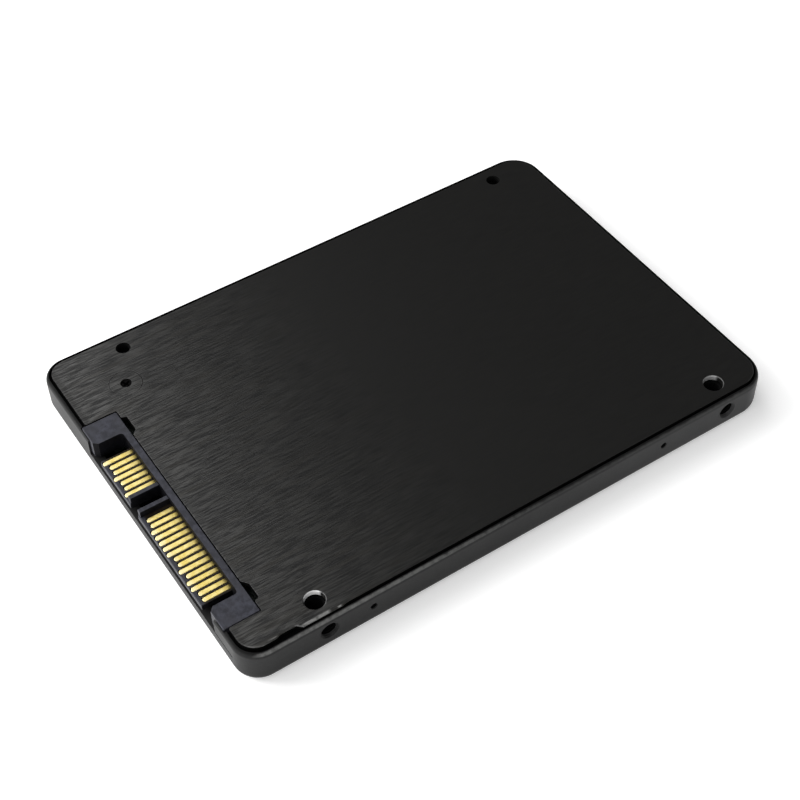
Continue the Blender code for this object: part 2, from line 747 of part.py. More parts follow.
def passives():
    for number, y in enumerate((-37.0, -31.0), 1):
        chip(f"power_inductor_{number}", (21.0, y), (4.2, 4.2, 1.8), FERRITE)
    for number, y in enumerate((-12.0, -7.5, -3.0, 1.5), 1):
        chip(f"tantalum_capacitor_{number}", (-26.0, y), (3.5, 2.8, 1.7), TANTALUM)
    for number, x in enumerate((-5.0, 0.0, 5.0, 10.0), 1):
        chip(f"ceramic_capacitor_{number}", (x, -14.0), (1.6, 0.9, 0.8), CERAMIC)


def thermal_pads():
    """Soft pads that pass heat from the chips to the mounting plate."""
    bottom, top = BOARD_TOP + 2 * BOARD_GAP + CHIP_HEIGHT, PLATE_BOTTOM - BOARD_GAP
    x, y = CONTROLLER_CENTRE
    pads = [("controller_pad", x, y, 12.0, 12.0)]
    middle_y = sum(FLASH_Y) / 2
    for number, flash_x in enumerate(FLASH_X, 1):
        pads.append((f"flash_pad_{number}", flash_x, middle_y, 12.0, 40.0))
    for name, x, y, width, length in pads:
        pad = slab(
            name, (x - width / 2, y - length / 2, bottom), (x + width / 2, y + length / 2, top),
            corner=0.4, corner_steps=2,
        )
        publish(pad, name, PAD_GREY)


def main():
    case_shell()
    label_sticker()
    mounting_plate()
    plate_screw()
    connector_housing()
    contacts()
    board_locks()
    circuit_board()
    board_screws()
    flash_chips()
    control_chips()
    passives()
    thermal_pads()


main()
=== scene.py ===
import math

import bmesh
import bpy
from mathutils import Matrix, Vector


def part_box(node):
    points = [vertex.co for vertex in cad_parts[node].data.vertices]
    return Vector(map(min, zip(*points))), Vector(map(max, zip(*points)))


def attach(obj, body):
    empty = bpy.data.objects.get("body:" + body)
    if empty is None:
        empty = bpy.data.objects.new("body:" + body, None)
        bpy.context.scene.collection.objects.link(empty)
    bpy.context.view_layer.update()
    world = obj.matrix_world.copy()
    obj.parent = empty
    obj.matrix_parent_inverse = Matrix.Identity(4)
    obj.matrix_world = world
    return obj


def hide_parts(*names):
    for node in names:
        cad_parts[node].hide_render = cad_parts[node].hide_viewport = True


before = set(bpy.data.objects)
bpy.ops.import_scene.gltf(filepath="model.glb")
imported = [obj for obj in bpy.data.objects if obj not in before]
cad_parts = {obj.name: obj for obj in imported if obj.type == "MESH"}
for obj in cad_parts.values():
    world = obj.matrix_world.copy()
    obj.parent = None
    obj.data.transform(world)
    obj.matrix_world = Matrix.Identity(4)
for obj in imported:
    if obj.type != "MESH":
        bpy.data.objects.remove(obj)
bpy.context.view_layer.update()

# The visual model of the solid state drive: the visible pieces are built again at a finer
# resolution than the CAD solids, and every piece gets a procedural material.
# Shapes are sized in millimetres, and MM turns them into metres. The looks and the studio are
# in metres, as the shaders and the lamps read them.

MM = 0.001


def box_mm(node):
    low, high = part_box(node)
    return low / MM, high / MM


SHELL_LOW, SHELL_HIGH = box_mm("case_shell")
PLATE_LOW, PLATE_HIGH = box_mm("mounting_plate")
HALF_X, HALF_Y, HEIGHT = SHELL_HIGH.x, SHELL_HIGH.y, PLATE_HIGH.z
HOUSING_LOW, HOUSING_HIGH = box_mm("connector_housing")
SCREW_LOW, SCREW_HIGH = box_mm("plate_screw")
SCREW = (SCREW_LOW + SCREW_HIGH) / 2

# Shell, as in the CAD. The rim's rounding stops at RIM_REACH from the outside.
FRONT_CORNER, BACK_CORNER = 4.2, 5.4
RIM_ROUND, LABEL_ROUND, RIM_WALL, RIM_REACH = 1.2, 1.55, 0.6, 0.54
LEDGE_Z, FLOOR_Z = 5.8, 1.1
CAVITY_X, CAVITY_Y = HALF_X - 2.0, HALF_Y - 1.7
HOLE_X, HOLE_Y = 30.86, (-36.0, 40.6)
THREAD_MINOR, THREAD_MAJOR, THREAD_PITCH = 1.25, 1.5, 0.5
SIDE_Z, SIDE_DEPTH = 4.0, 2.4
SNAP_Y, SNAP_HOLE = (-28.3, 27.2), 0.55
BORE_FLOOR = 2.2
BOARD_SCREWS = ((-28.0, 33.0), (28.0, 33.0), (28.0, -27.5))
HOOK_X = (-17.0, 17.0)
BLOCK_INNER_X, BLOCK_HALF_Y = 27.2, 4.1
SCREW_POST, BOARD_POST, BOARD_POST_TOP = 2.4, 2.2, 2.3
FRONT_GAP_X, FRONT_GAP_Z = (-16.0, 25.3), 3.3
LABEL_POCKET, LABEL_DEPTH = (30.5, 45.0), 0.45
# Where the shell is hidden in shadow: inside of HIDDEN_INSET, but not on the lip under the connector.
HIDDEN_INSET, LIP_BACK, LIP_TOP = 0.582, -48.2, 3.35

# Plate, as in the CAD.
PLATE_BOTTOM = 6.1
PLATE_EDGE_ROUND, PLATE_SHARP_ROUND = 0.24, 0.04
PLATE_FRONT, PLATE_BACK, PLATE_SIDE = -48.9, 49.0, 33.8
# The edge's rounding grows from the sharp one to the full one over ROUNDED_WIDTH from ROUNDED_FROM_X on.
ROUNDED_FROM_X, ROUNDED_WIDTH = 30.5, 2.6
# Each notch behind the connector: its mouth's two ends, then its back's two ends.
NOTCHES, NOTCH_BACK = ((-17.0, -12.7, -16.75, -13.5), (21.9, 26.1, 22.9, 25.85)), -42.5
# The photo shows the -X holes small and faint, and the +X ones at their full size.
PUNCHED_RADIUS, DRILLED_RADIUS = 1.05, 1.6
HOLE_MOUTH = (
    (0.0, -2.0), (0.0, -0.3), (0.02, -0.17), (0.07, -0.07), (0.14, -0.015), (0.2, 0.0), (0.2, 0.5),
)
LEG_BOTTOM, HOOK_BOTTOM, HOOK_HALF_X = 3.0, 4.6, 3.0
HEAD_RADIUS, SEAT_GAP, RECESS_TURNS = 2.75, 0.035, (25.0, 115.0)

# Connector, as in the CAD.
EAR_FRONT, POCKET_X, BAR_FRONT = -49.65, (-14.1, 23.4), -44.65
TONGUES = ((-12.055, -1.645), (0.765, 21.335))
TONGUE_FRONT, TONGUE_LOW, TONGUE_HIGH, KEY_HIGH, KEY_WIDTH = -49.85, 3.97, 5.15, 6.35, 0.85
LEAD_IN = 0.7
SIGNAL_CONTACTS = [f"signal_contact_{n}" for n in range(1, 8)]
POWER_CONTACTS = [f"power_contact_{n}" for n in range(1, 16)]
CONTACTS = SIGNAL_CONTACTS + POWER_CONTACTS
SLOT_GAP, TIP_LENGTH, TIP_DIP = 0.08, 0.7, 0.28

# The record's material slot of each piece that is built here.
SLOT_OF = {
    "case_shell": "coated_shell", "mounting_plate": "brushed_plate", "plate_screw": "black_steel",
    "connector_housing": "connector_plastic", "label_sticker": "label_film",
    **{name: "gold_plating" for name in CONTACTS},
}

# Bare metal along the plate's +X edge, in metres: x from, x to, blur, y from, y to, blur.
BURR = (0.0335, 0.0345, 0.00006, -0.0397, -0.0352, 0.0003)
NICK = (0.0337, 0.0345, 0.00005, -0.0338, -0.0332, 0.0001)
SCRAPE = (0.0331, 0.0333, 0.00003, -0.0451, -0.0438, 0.0003)
SCRAPE_STRENGTH = 0.35
# The painted highlight on the wall of the two +X holes: the hole's y, and how bright it is painted.
HOLE_WALL_HIGHLIGHTS = ((-0.036, 0.85), (0.0406, 0.28))

# Studio, in metres and watts: place, target, width, height, power. The left softbox is what the
# plate's front end and the gold reflect towards the camera.
LAMPS = {
    "left_softbox": ((-1.1, -0.18, 1.04), (0.0, -0.05, 0.0), 0.91, 1.82, 10.2),
    "front_softbox": ((-0.6, -0.65, 0.55), (0.0, -0.05, 0.0), 0.5, 0.5, 8.0),
    "high_fill": ((0.15, -0.95, 1.1), (0.0, 0.0, 0.0), 2.0, 2.0, 19.0),
    "right_fill": ((1.1, -0.2, 0.45), (0.0, 0.0, 0.0), 0.7, 0.7, 3.7),
}
SKY_LIGHT, SKY_SEEN = 0.07, 1.0
FLOOR_HALF_SIZE_MM, FLOOR_DROP_MM = 60000.0, 0.05
GLOW_FROM, GLOW_TO = 0.5, 1.6
CAMERA_PLACE = (0.15018573, -0.09718496, 0.19963343)
CAMERA_TURN_DEGREES = (41.82967028, 0.71165508, 56.47114402)
LENS_MM, SENSOR_MM = 71.4328, 36.0


# ---------------------------------------------------------------- making shapes

def object_from(bm, name):
    """An object whose mesh, given in millimetres, is turned into metres."""
    bmesh.ops.scale(bm, vec=(MM, MM, MM), verts=bm.verts)
    bmesh.ops.recalc_face_normals(bm, faces=bm.faces)
    mesh = bpy.data.meshes.new(name)
    bm.to_mesh(mesh)
    bm.free()
    made = bpy.data.objects.new(name, mesh)
    bpy.context.scene.collection.objects.link(made)
    return made


def bevel(bm, edges, radius, steps):
    bmesh.ops.bevel(
        bm, geom=edges, offset=radius, offset_type="OFFSET", segments=steps, profile=0.5,
        affect="EDGES", clamp_overlap=True,
    )


def slab(low, high, corner=0.0, corner_steps=5, top=0.0, bottom=0.0):
    """A box with rounded upright corners and rounded flat edges."""
    low, high = Vector(low), Vector(high)
    size, middle = high - low, (high + low) / 2
    bm = bmesh.new()
    bmesh.ops.create_cube(bm, size=1.0, matrix=Matrix.Translation(middle) @ Matrix.Diagonal((*size, 1.0)))
    if corner:
        upright = [e for e in bm.edges if abs(e.verts[0].co.z - e.verts[1].co.z) > size.z / 2]
        bevel(bm, upright, corner, corner_steps)
    for level, radius in ((high.z, top), (low.z, bottom)):
        if radius:
            flat = [e for e in bm.edges if all(abs(v.co.z - level) < 1e-5 for v in e.verts)]
            bevel(bm, flat, radius, 3)
    return object_from(bm, "slab")


def loft(rings):
    """Rings of equal length joined in turn, with the first and the last one filled."""
    bm = bmesh.new()
    rows = [[bm.verts.new(point) for point in ring] for ring in rings]
    count = len(rows[0])
    for lower, upper in zip(rows, rows[1:]):
        for i in range(count):
            j = (i + 1) % count
            bm.faces.new((lower[i], lower[j], upper[j], upper[i]))
    bm.faces.new(list(reversed(rows[0])))
    bm.faces.new(rows[-1])
    return object_from(bm, "loft")


def ring_about(centre, axis, along, radii):
    """A ring round the axis through centre, with a radius of its own at each point."""
    x, y, z = centre
    points = []
    for i, radius in enumerate(radii):
        a = 2 * math.pi * i / len(radii)
        u, v = radius * math.cos(a), radius * math.sin(a)
        points.append((x + u, y + v, z + along) if axis == "Z" else (x + along, y + u, z + v))
    return points


def lathe(centre, profile, sides=48, axis="Z"):
    """A turned shape: profile is a list of (radius, distance along the axis), from end to end."""
    return loft([ring_about(centre, axis, along, [radius] * sides) for radius, along in profile])


def tap(centre, start, end, axis="Z", sides=40, steps=8):
    """A threaded rod, which cuts a thread when it is taken away."""
    count = int(round((end - start) / THREAD_PITCH * steps))
    rings = []
    for k in range(count + 1):
        along = start + (end - start) * k / count
        phases = [(along / THREAD_PITCH - i / sides) % 1.0 for i in range(sides)]
        depths = [1 - abs(2 * phase - 1) for phase in phases]
        radii = [THREAD_MINOR + (THREAD_MAJOR - THREAD_MINOR) * depth for depth in depths]
        rings.append(ring_about(centre, axis, along, radii))
    return loft(rings)


def boolean(target, operation, others):
    """Joins or cuts, applies it, and removes the other shapes."""
    for other in others:
        modifier = target.modifiers.new("boolean", "BOOLEAN")
        modifier.operation = operation
        modifier.solver = "MANIFOLD"
        modifier.object = other
    graph = bpy.context.evaluated_depsgraph_get()
    mesh = bpy.data.meshes.new_from_object(target.evaluated_get(graph))
    target.modifiers.clear()
    target.data = mesh
    for other in others:
        bpy.data.objects.remove(other)
    return target


def cut(target, *others):
    return boolean(target, "DIFFERENCE", others)


def join(target, *others):
    return boolean(target, "UNION", others)


def finish_piece(piece, node, *looks):
    """Shades the piece, names it after the CAD node, attaches it to the root body and hides that node."""
    piece.name = f"{node}_visual"
    piece.data.name = piece.name
    piece.data.materials.clear()
    for look in looks:
        piece.data.materials.append(look)
    piece.data.shade_smooth()
    piece.data.set_sharp_from_angle(angle=math.radians(32.0))
    weighted = piece.modifiers.new("flat_normals", "WEIGHTED_NORMAL")
    weighted.keep_sharp = True
    weighted.weight = 80
    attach(piece, "root")
    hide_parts(node)


def paint(piece, number, belongs):
    """Gives the piece's material of that number to the faces whose middle and normal pass the test."""
    for face in piece.data.polygons:
        if belongs(face.center / MM, face.normal):
            face.material_index = number


# ---------------------------------------------------------------- materials

class Look:
    """A material under construction: short names for the nodes that the looks below share."""

    def __init__(self, name, colour, roughness, metallic=0.0, **sockets):
        self.material = bpy.data.materials.new(name)
        self.material.use_nodes = True
        self.tree = self.material.node_tree
        self.shader = self.tree.nodes["Principled BSDF"]
        self.shader.inputs["Base Color"].default_value = (*colour, 1.0)
        self.shader.inputs["Roughness"].default_value = roughness
        self.shader.inputs["Metallic"].default_value = metallic
        for socket, value in sockets.items():
            self.shader.inputs[socket.replace("_", " ")].default_value = value
        self.place = self.node("ShaderNodeTexCoord").outputs["Object"]
        self.normal = None

    def node(self, kind, **settings):
        made = self.tree.nodes.new(kind)
        for key, value in settings.items():
            setattr(made, key, value)
        return made

    def feed(self, socket, value):
        if isinstance(value, bpy.types.NodeSocket):
            self.tree.links.new(value, socket)
        else:
            socket.default_value = value

    def scaled(self, x, y, z):
        """The object's coordinates, in metres, times a factor on each axis."""
        made = self.node("ShaderNodeMapping")
        self.feed(made.inputs["Vector"], self.place)
        made.inputs["Scale"].default_value = (x, y, z)
        return made.outputs["Vector"]

    def noise(self, scale, detail=3.0, rough=0.55, place=None):
        made = self.node("ShaderNodeTexNoise")
        self.feed(made.inputs["Vector"], place or self.place)
        made.inputs["Scale"].default_value = scale
        made.inputs["Detail"].default_value = detail
        made.inputs["Roughness"].default_value = rough
        return made.outputs["Fac"]

    def ramp(self, value, low, high, to_low=0.0, to_high=1.0):
        made = self.node("ShaderNodeMapRange", clamp=True)
        self.feed(made.inputs["Value"], value)
        for key, number in zip(("From Min", "From Max", "To Min", "To Max"), (low, high, to_low, to_high)):
            made.inputs[key].default_value = number
        return made.outputs["Result"]

    def math(self, operation, first, second=0.0):
        made = self.node("ShaderNodeMath", operation=operation)
        self.feed(made.inputs[0], first)
        self.feed(made.inputs[1], second)
        return made.outputs["Value"]

    def times(self, first, *others):
        """The product of all these values."""
        for other in others:
            first = self.math("MULTIPLY", first, other)
        return first

    def mix(self, factor, first, second):
        made = self.node("ShaderNodeMix", data_type="RGBA")
        self.feed(made.inputs["Factor"], factor)
        colours = [s for s in made.inputs if s.type == "RGBA"]
        for socket, value in zip(colours, (first, second)):
            self.feed(socket, value if isinstance(value, bpy.types.NodeSocket) else (*value, 1.0))
        return next(s for s in made.outputs if s.type == "RGBA")

    def axis(self, name):
        made = self.node("ShaderNodeSeparateXYZ")
        self.feed(made.inputs["Vector"], self.place)
        return made.outputs[name]

    def between(self, value, low, high, soft):
        """1 where low < value < high, in metres, fading over soft."""
        rise = self.ramp(value, low - soft, low + soft)
        fall = self.ramp(value, high - soft, high + soft, 1.0, 0.0)
        return self.times(rise, fall)

    def window(self, x_low, x_high, x_soft, y_low, y_high, y_soft):
        """1 inside a rectangle seen from above."""
        across = self.between(self.axis("X"), x_low, x_high, x_soft)
        return self.times(across, self.between(self.axis("Y"), y_low, y_high, y_soft))

    def bump(self, height, depth_mm, strength=1.0):
        made = self.node("ShaderNodeBump")
        made.inputs["Strength"].default_value = strength
        made.inputs["Distance"].default_value = depth_mm * MM
        self.feed(made.inputs["Height"], height)
        if self.normal is not None:
            self.feed(made.inputs["Normal"], self.normal)
        self.normal = made.outputs["Normal"]
        self.feed(self.shader.inputs["Normal"], self.normal)

    def edges(self, radius_mm):
        """A mask that is 1 on sharp edges."""
        rounded = self.node("ShaderNodeBevel", samples=4)
        rounded.inputs["Radius"].default_value = radius_mm * MM
        flat = self.node("ShaderNodeNewGeometry")
        dot = self.node("ShaderNodeVectorMath", operation="DOT_PRODUCT")
        self.feed(dot.inputs[0], rounded.outputs["Normal"])
        self.feed(dot.inputs[1], flat.outputs["Normal"])
        return self.ramp(self.math("SUBTRACT", 1.0, dot.outputs["Value"]), 0.02, 0.25)

    def colour(self, value):
        self.feed(self.shader.inputs["Base Color"], value)

    def roughness(self, value):
        self.feed(self.shader.inputs["Roughness"], value)


def coated_shell():
    """Satin black coat on die-cast metal: fine grain, faint cloudiness, paler worn edges that are partly a
    painted edge highlight, painted shade low down and on top of the rim, and painted light towards the back
    and along the rim.
    """
    look = Look("satin_black_coat", (0.02, 0.02, 0.0205), 0.42, Specular_IOR_Level=0.12)
    cloud = look.noise(90.0, 4.0)
    grain = look.noise(5200.0, 2.0, 0.6)
    speck = look.noise(1500.0, 3.0, 0.65)
    base = look.mix(cloud, (0.0090, 0.0090, 0.0094), (0.0200, 0.0200, 0.0205))
    base = look.mix(look.ramp(speck, 0.35, 0.75), base, (0.0190, 0.0190, 0.0186))
    x, y, z = look.axis("X"), look.axis("Y"), look.axis("Z")
    # Painted shade: the coat is painted darker towards the bottom.
    base = look.mix(look.ramp(z, 0.0055, 0.0012, 0.0, 0.6), base, (0.005, 0.005, 0.005))
    # Painted light: the coat is painted lighter towards the back end.
    base = look.mix(look.ramp(y, 0.0, 0.05, 0.0, 0.75), base, (0.037, 0.037, 0.0375))
    # Painted highlight along the rim's rounding on the long +X side, broken up and strongest towards the
    # front; on top of the rim the coat is dull, and painted darker as painted shade.
    rim = look.times(look.between(z, 0.00628, 0.00673, 0.0001), look.ramp(x, 0.0338, 0.0345))
    broken = look.ramp(look.noise(1100.0, 3.0), 0.3, 0.6, 0.45, 1.0)
    rim_highlight = look.times(rim, look.ramp(y, 0.004, -0.03, 0.2, 1.0), broken)
    base = look.mix(rim_highlight, base, (0.14, 0.14, 0.137))
    top = look.times(look.ramp(z, 0.0064, 0.0067), look.ramp(rim_highlight, 0.4, 0.1))
    base = look.mix(look.times(top, 0.85), base, (0.003, 0.003, 0.003))
    # The worn edges are painted paler, partly as wear and partly as a painted edge highlight.
    worn = look.times(look.edges(0.1), look.ramp(look.noise(700.0, 3.0), 0.35, 0.7))
    look.colour(look.mix(look.times(worn, 0.25), base, (0.07, 0.07, 0.07)))
    satin = look.ramp(look.math("ADD", look.times(grain, 0.5), cloud), 0.4, 1.1, 0.34, 0.52)
    look.roughness(look.math("ADD", satin, look.times(top, 0.4)))
    look.bump(grain, 0.012, 0.55)
    look.bump(speck, 0.02, 0.25)
    return look.material


def bare_metal_and_hole_highlights(look, base):
    """The plate's colour with bare metal along its +X edge, and a painted highlight on the walls of its two
    +X holes.
    """
    z = look.axis("Z")
    on_top = look.ramp(z, 0.00685, 0.00692)
    broken = look.ramp(look.noise(700.0, 3.0, 0.6), 0.36, 0.5, 0.3, 1.0)
    bare = look.times(look.window(*BURR), broken, on_top)
    bare = look.math("MAXIMUM", bare, look.times(look.window(*NICK), on_top))
    bare = look.math("MAXIMUM", bare, look.times(look.window(*SCRAPE), SCRAPE_STRENGTH))
    base = look.mix(bare, base, (0.17, 0.17, 0.165))
    below = look.ramp(z, 0.00698, 0.00694)
    # Painted highlight: the wall on each +X hole's -X side, which faces +X, is painted pale.
    for y, strength in HOLE_WALL_HIGHLIGHTS:
        wall = look.window(0.0284, 0.0301, 0.0002, y - 0.0014, y + 0.0016, 0.0003)
        base = look.mix(look.times(below, wall), base, (strength, strength, strength))
    return base


def brushed_plate(name="brushed_black_anodised"):
    """Black anodised aluminium brushed along the length, with bare metal where the edge is worn, a painted
    sheen towards the connector, and painted highlights on two hole walls.
    """
    look = Look(name, (0.008, 0.008, 0.008), 0.42, Specular_IOR_Level=1.0, Anisotropic=0.9)
    y = look.axis("Y")
    fine = look.noise(1.0, 2.0, 0.5, look.scaled(6200.0, 330.0, 2000.0))
    coarse = look.noise(1.0, 2.0, 0.5, look.scaled(3300.0, 190.0, 2000.0))
    wide = look.noise(1.0, 2.0, 0.5, look.scaled(900.0, 60.0, 2000.0))
    cloud = look.noise(28.0, 2.0)
    streak = look.math("ADD", look.times(fine, 0.45), look.times(coarse, 0.55))
    # Painted sheen: towards the connector the plate is painted lighter, and its brushing stands out more
    # there, in colour and in relief.
    front_sheen_mask = look.ramp(y, -0.004, -0.044, 0.05, 1.0)
    swing = look.times(look.math("SUBTRACT", streak, 0.5), front_sheen_mask, 12.0)
    bright = look.mix(look.times(front_sheen_mask, front_sheen_mask), (0.016, 0.0158, 0.015), (0.036, 0.0355, 0.0335))
    base = look.mix(look.math("ADD", swing, 0.42), (0.0002, 0.0002, 0.0002), bright)
    base = look.mix(look.times(look.ramp(wide, 0.5, 0.7), front_sheen_mask, 0.6), base, (0.016, 0.0142, 0.0105))
    base = look.mix(look.ramp(cloud, 0.4, 0.7, 0.0, 0.2), base, (0.0045, 0.0045, 0.0044))
    look.colour(bare_metal_and_hole_highlights(look, base))
    shade = look.ramp(look.math("ADD", look.times(swing, 0.5), 0.5), 0.0, 1.0, 0.56, 0.32)
    look.roughness(look.math("ADD", shade, look.ramp(y, -0.0478, -0.0489, 0.0, 0.45)))
    # The brushing runs along the length, so highlights spread across it.
    tangent = look.node("ShaderNodeCombineXYZ")
    tangent.inputs["X"].default_value = 1.0
    look.feed(look.shader.inputs["Tangent"], tangent.outputs["Vector"])
    look.bump(look.times(streak, front_sheen_mask), 0.14, 1.0)
    look.bump(wide, 0.02, 0.2)
    return look.material


def hidden_black(name):
    """The dull, unlit black of the gaps and of the faces inside the case."""
    look = Look(name, (0.002, 0.002, 0.002), 0.85, Specular_IOR_Level=0.05)
    grain = look.noise(2400.0, 3.0)
    look.colour(look.mix(grain, (0.0015, 0.0015, 0.0015), (0.003, 0.003, 0.003)))
    look.roughness(look.ramp(grain, 0.3, 0.7, 0.8, 0.92))
    look.bump(grain, 0.01, 0.4)
    return look.material


def connector_plastic():
    """Blue-grey moulded plastic, a little mottled."""
    look = Look(
        "blue_grey_plastic", (0.01, 0.0105, 0.014), 0.5,
        Specular_IOR_Level=0.4, Specular_Tint=(0.9, 0.92, 1.0, 1.0),
    )
    mottle = look.noise(900.0, 4.0, 0.65)
    cloud = look.noise(260.0, 3.0)
    grain = look.noise(6500.0, 2.0)
    base = look.mix(look.ramp(mottle, 0.38, 0.62), (0.008, 0.0083, 0.0125), (0.034, 0.035, 0.047))
    base = look.mix(look.ramp(cloud, 0.4, 0.65, 0.0, 0.5), base, (0.02, 0.0195, 0.023))
    look.colour(base)
    look.roughness(look.ramp(mottle, 0.3, 0.7, 0.42, 0.6))
    look.bump(grain, 0.01, 0.5)
    look.bump(mottle, 0.02, 0.35)
    return look.material


def pocket_plastic():
    """The same plastic, painted nearly black and dull, as painted shade on the pocket walls."""
    look = Look("blue_grey_plastic_painted_shade", (0.0025, 0.0025, 0.004), 0.7, Specular_IOR_Level=0.1)
    mottle = look.noise(900.0, 4.0, 0.65)
    look.colour(look.mix(look.ramp(mottle, 0.38, 0.62), (0.0012, 0.0012, 0.002), (0.004, 0.004, 0.006)))
    look.roughness(look.ramp(mottle, 0.3, 0.7, 0.62, 0.8))
    look.bump(mottle, 0.02, 0.35)
    return look.material


def tongue_plastic():
    """The same plastic under the contacts: dull, and painted dark brown between them as painted shade and
    painted reflection of the gold.
    """
    look = Look("brown_plastic_painted_reflection", (0.01, 0.007, 0.004), 0.6, Specular_IOR_Level=0.25)
    mottle = look.noise(1200.0, 3.0, 0.6)
    painted_gold_reflection = look.mix(look.ramp(mottle, 0.35, 0.65), (0.007, 0.0042, 0.0015), (0.016, 0.0098, 0.004))
    look.colour(look.mix(look.ramp(look.axis("Y"), -0.0489, -0.0494), painted_gold_reflection, (0.026, 0.027, 0.036)))
    look.roughness(look.ramp(mottle, 0.3, 0.7, 0.5, 0.7))
    look.bump(mottle, 0.01, 0.4)
    return look.material


def gold_plating():
    """Bright gold over nickel with lengthwise scratches: paler at the rubbed tips, partly as a painted
    highlight, and painted darker at the root as painted shade by the bar.
    """
    look = Look("gold_plating_bright", (0.8, 0.62, 0.22), 0.32, 1.0)
    scratch = look.noise(1.0, 3.0, 0.6, look.scaled(16000.0, 900.0, 4000.0))
    cloud = look.noise(1300.0, 3.0)
    y = look.axis("Y")
    base = look.mix(look.ramp(cloud, 0.35, 0.65), (0.76, 0.6, 0.17), (0.88, 0.74, 0.31))
    base = look.mix(look.ramp(scratch, 0.5, 0.72, 0.0, 0.3), base, (0.56, 0.39, 0.12))
    # The rubbed tips are painted paler: partly wear, partly a painted highlight.
    base = look.mix(look.ramp(y, -0.0484, -0.0493, 0.0, 0.7), base, (0.9, 0.79, 0.48))
    # Painted shade: the gold is painted darker at the root, by the bar.
    look.colour(look.mix(look.ramp(y, -0.0464, -0.0446, 0.0, 0.75), base, (0.3, 0.23, 0.07)))
    look.roughness(look.ramp(scratch, 0.3, 0.7, 0.27, 0.42))
    look.bump(scratch, 0.006, 0.5)
    return look.material


def label_film():
    """Blank silver-grey film with a faint satin grain."""
    look = Look("label_film_satin", (0.33, 0.34, 0.35), 0.4, 0.2, Specular_IOR_Level=0.5)
    grain = look.noise(3800.0, 3.0)
    cloud = look.noise(60.0, 3.0)
    look.colour(look.mix(look.ramp(cloud, 0.35, 0.65), (0.3, 0.31, 0.32), (0.37, 0.38, 0.39)))
    look.roughness(look.ramp(grain, 0.3, 0.7, 0.32, 0.48))
    look.bump(grain, 0.006, 0.35)
    look.bump(cloud, 0.05, 0.12)
    return look.material


def plain_look(name, low, high, rough, metallic=0.0, patch=500.0, grain=5000.0, depth=0.01):
    """A look for a piece inside the case: two close colours, grain, and uneven gloss."""
    look = Look(name, low, rough, metallic)
    fine = look.noise(grain, 3.0, 0.6)
    broad = look.noise(patch, 3.0)
    base = look.mix(look.ramp(broad, 0.35, 0.65), low, high)
    look.colour(look.mix(look.ramp(fine, 0.45, 0.75, 0.0, 0.3), base, [c * 0.6 for c in low]))
    look.roughness(look.ramp(fine, 0.3, 0.7, rough - 0.08, rough + 0.1))
    look.bump(fine, depth, 0.5)
    return look.material


def board_look():
    """Black solder mask over copper traces on a fine grid."""
    look = Look("solder_mask_black", (0.012, 0.016, 0.014), 0.35, Specular_IOR_Level=0.5)
    traces = look.node("ShaderNodeTexBrick")
    look.feed(traces.inputs["Vector"], look.scaled(900.0, 900.0, 900.0))
    traces.inputs["Mortar Size"].default_value = 0.05
    traces.inputs["Brick Width"].default_value = 3.2
    traces.inputs["Row Height"].default_value = 0.55
    pattern = traces.outputs["Fac"]
    weave = look.noise(2600.0, 2.0)
    base = look.mix(look.ramp(weave, 0.3, 0.7), (0.008, 0.012, 0.010), (0.014, 0.02, 0.016))
    look.colour(look.mix(look.times(pattern, 0.6), base, (0.03, 0.042, 0.032)))
    look.roughness(look.ramp(weave, 0.3, 0.7, 0.28, 0.42))
    look.bump(pattern, 0.02, 0.5)
    look.bump(weave, 0.008, 0.3)
    return look.material


# ---------------------------------------------------------------- shell

def rounded_ring(half_x, half_y, front, back, z):
    """A ring round the case, with its own corner radius at the front and at the back."""
    points, steps = [], 14
    corners = ((1, -1, front, -90), (1, 1, back, 0), (-1, 1, back, 90), (-1, -1, front, 180))
    for side_x, side_y, radius, start in corners:
        cx, cy = side_x * (half_x - radius), side_y * (half_y - radius)
        for i in range(steps + 1):
            a = math.radians(start + 90.0 * i / steps)
            points.append((cx + radius * math.cos(a), cy + radius * math.sin(a), z))
    return points


def inset_ring(inset, z):
    return rounded_ring(HALF_X - inset, HALF_Y - inset, FRONT_CORNER - inset, BACK_CORNER - inset, z)


def shell_body():
    """The outside, the rim, the ledge under the plate and the cavity, in one sweep round the case."""
    rings = []
    for k in range(9):
        a = math.radians(90.0 * k / 8)
        rings.append(inset_ring(LABEL_ROUND * (1 - math.sin(a)), LABEL_ROUND * (1 - math.cos(a))))
    top_start = HEIGHT - RIM_ROUND
    stop = math.degrees(math.acos((RIM_ROUND - RIM_REACH) / RIM_ROUND))
    for k in range(9):
        a = math.radians(stop * k / 8)
        rings.append(inset_ring(RIM_ROUND * (1 - math.cos(a)), top_start + RIM_ROUND * math.sin(a)))
    peak = rings[-1][0][2]
    for inset, rise in ((0.565, 0.014), (0.585, 0.008), (RIM_WALL, -0.02), (RIM_WALL, LEDGE_Z - peak)):
        rings.append(inset_ring(inset, peak + rise))
    rings.append(rounded_ring(CAVITY_X, CAVITY_Y, 2.0, 2.0, LEDGE_Z))
    rings.append(rounded_ring(CAVITY_X, CAVITY_Y, 2.0, 2.0, FLOOR_Z))
    return loft(rings)


